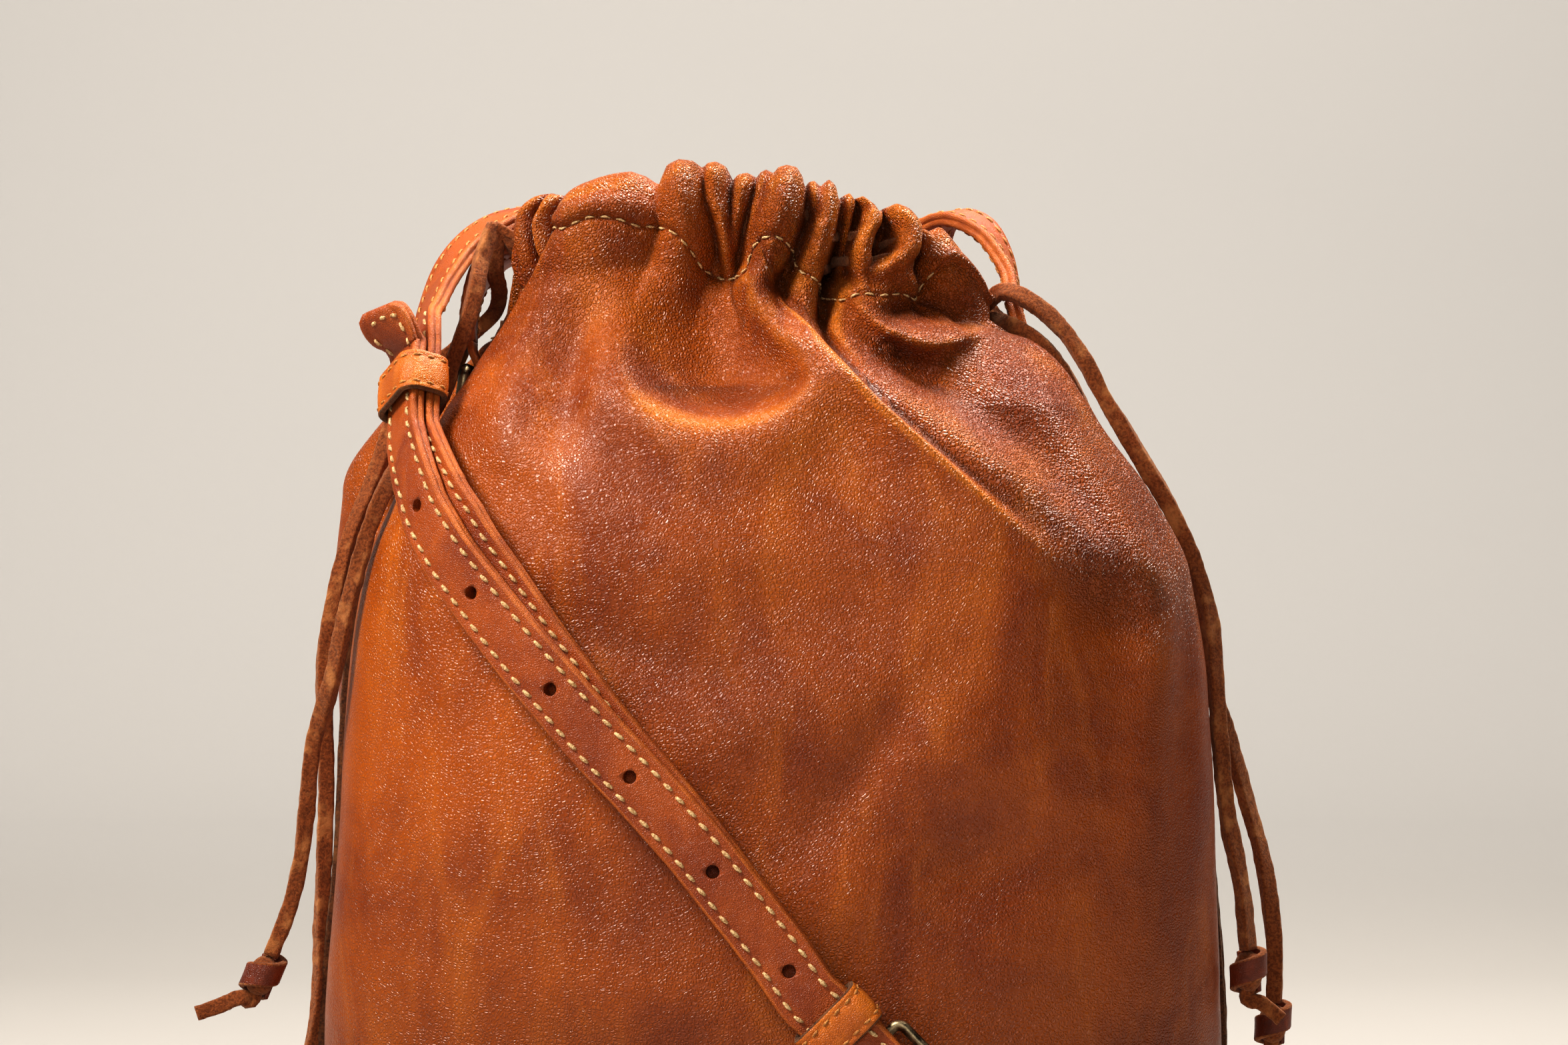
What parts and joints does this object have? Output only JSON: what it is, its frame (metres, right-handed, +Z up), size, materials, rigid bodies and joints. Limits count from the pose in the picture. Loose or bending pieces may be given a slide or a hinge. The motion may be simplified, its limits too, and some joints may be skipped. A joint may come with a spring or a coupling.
{
  "type": "drawstring shoulder bag",
  "caption": "Soft leather drawstring bag with a gathered hem, four cord ends with knots and a buckled shoulder strap.",
  "frame": {"origin": "centre of the flat base, on the surface the bag stands on", "axes": "+Z up, front of the bag towards -Y, both side seams in the plane y = 0"},
  "size_m": [0.274, 0.154, 0.258],
  "materials": {
    "shell_leather": "satin, pebbled grain",
    "strap_leather": "satin, burnished tan edges",
    "tan_leather": "satin",
    "suede_lace": "matte, napped",
    "base_stiffener": "matte",
    "dark_metal": "antique, dark"
  },
  "bodies": {
    "bag": {"front_panel": "shell_leather", "back_panel": "shell_leather", "base_panel": "shell_leather", "base_board": "base_stiffener", "front_hem": "shell_leather", "back_hem": "shell_leather", "left_drawcord_loop": "suede_lace", "right_drawcord_loop": "suede_lace", "left_front_cord": "suede_lace", "left_back_cord": "suede_lace", "right_front_cord": "suede_lace", "right_back_cord": "suede_lace", "left_front_knot": "suede_lace", "left_back_knot": "suede_lace", "right_front_knot": "suede_lace", "right_back_knot": "suede_lace", "buckle_strap": "strap_leather", "billet_strap": "strap_leather", "buckle_chape": "strap_leather", "left_strap_chape": "strap_leather", "right_strap_chape": "strap_leather", "left_ring_tab": "tan_leather", "right_ring_tab": "tan_leather", "fixed_keeper": "tan_leather"},
    "left_strap_ring": {"left_ring": "dark_metal"},
    "right_strap_ring": {"right_ring": "dark_metal"},
    "buckle": {"buckle_frame": "dark_metal"},
    "prong": {"buckle_prong": "dark_metal"},
    "keeper": {"sliding_keeper": "tan_leather"}
  },
  "joints": [
    {"name": "left_ring_swing", "type": "hinge", "parent": "bag", "child": "left_strap_ring", "pos_m": [-0.0775, 0.002, 0.2], "axis": [0, 1, 0], "range_deg": [-4, 4]},
    {"name": "right_ring_swing", "type": "hinge", "parent": "bag", "child": "right_strap_ring", "pos_m": [0.0678, 0, 0.201], "axis": [0, 1, 0], "range_deg": [-4, 4]},
    {"name": "buckle_lift", "type": "hinge", "parent": "bag", "child": "buckle", "pos_m": [0.0225, -0.073, 0.0485], "axis": [-0.7071, 0, -0.7071], "range_deg": [0, 4]},
    {"name": "prong_lift", "type": "hinge", "parent": "buckle", "child": "prong", "pos_m": [0.0225, -0.073, 0.0485], "axis": [-0.7071, 0, -0.7071], "range_deg": [0, 4]},
    {"name": "keeper_slide", "type": "slide", "parent": "bag", "child": "keeper", "axis": [0.0269, -0.5209, -0.8532], "range_m": [-0.003, 0.003]}
  ]
}
